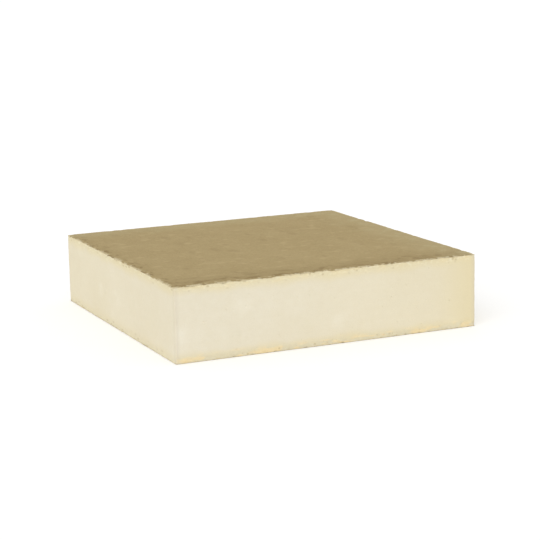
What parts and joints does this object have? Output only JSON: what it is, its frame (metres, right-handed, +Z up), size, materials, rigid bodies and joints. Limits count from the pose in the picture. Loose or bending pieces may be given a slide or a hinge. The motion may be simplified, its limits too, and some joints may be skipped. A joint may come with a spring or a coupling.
{
  "type": "polyiso insulation board",
  "caption": "Square rigid foam insulation board with a felt facer bonded to its top and underside, laid or fixed flat in roofs, walls and facades.",
  "frame": {"origin": "centre of the underside, on the surface that the board lies on", "axes": "+Z up through the thickness, +X along the front edge to the right, +Y from the front edge to the back"},
  "size_m": [0.3048, 0.3048, 0.0698],
  "materials": {
    "foam": "matte",
    "felt": "matte"
  },
  "bodies": {
    "root": {"bottom_facer": "felt", "foam_core": "foam", "top_facer": "felt"}
  },
  "joints": []
}
